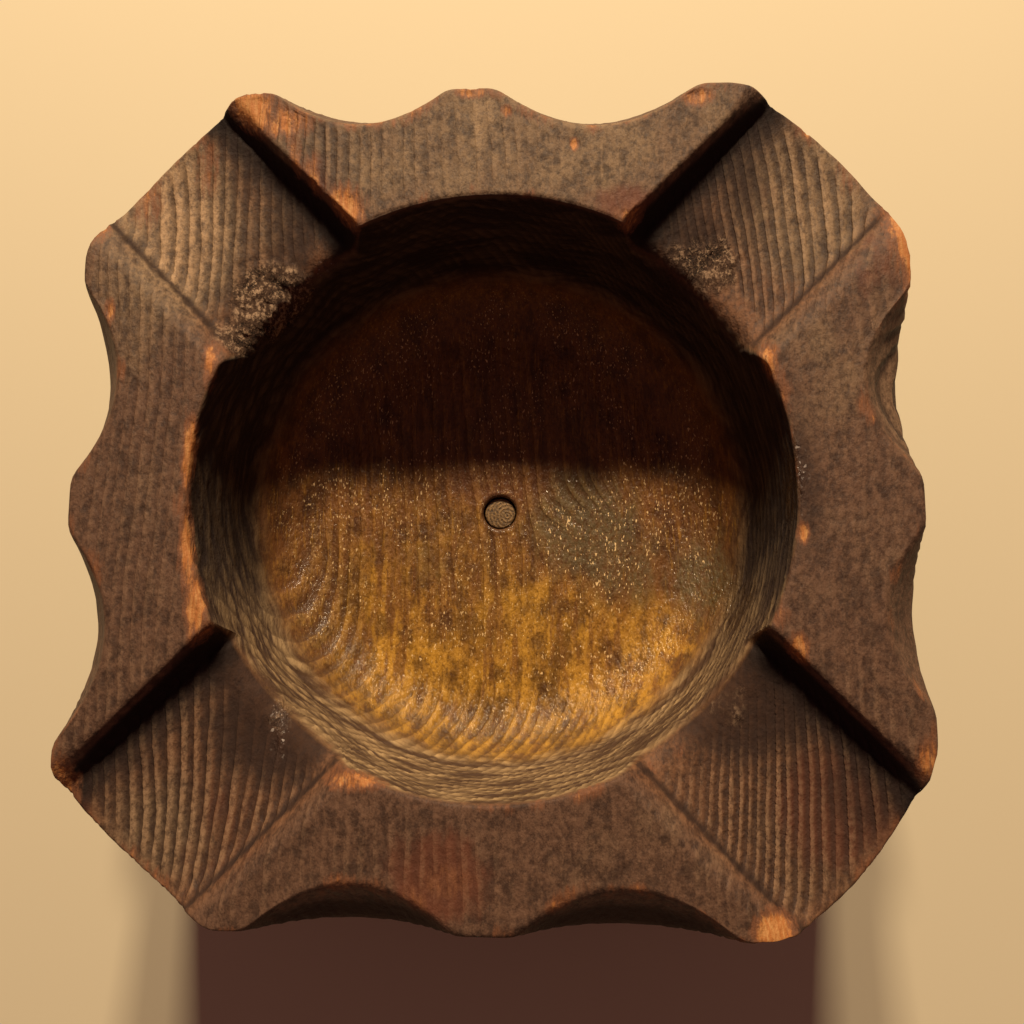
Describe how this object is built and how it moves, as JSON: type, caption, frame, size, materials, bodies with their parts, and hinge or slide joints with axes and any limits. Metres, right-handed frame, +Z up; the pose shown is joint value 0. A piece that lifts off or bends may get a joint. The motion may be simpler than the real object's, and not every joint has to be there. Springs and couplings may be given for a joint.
{
  "type": "carved wooden ashtray",
  "caption": "Square carved wooden ashtray with a deep round bowl, a grooved rest at each corner and scalloped top edges.",
  "frame": {"origin": "middle of the felt underside, where the dish rests", "axes": "+Z up out of the bowl, +X and +Y square to the side faces, with the corner rests on the diagonals"},
  "size_m": [0.15, 0.15, 0.06],
  "materials": {
    "charred_softwood": "softwood scorched, brushed along the grain and varnished dark brown, worn back to orange wood on its edges",
    "plug_wood": "end grain of a small dowel, stained olive brown and varnished",
    "felt": "thin dark green wool felt"
  },
  "bodies": {
    "root": {"dish_body": "charred_softwood", "centre_plug": "plug_wood", "base_felt": "felt"}
  },
  "joints": []
}
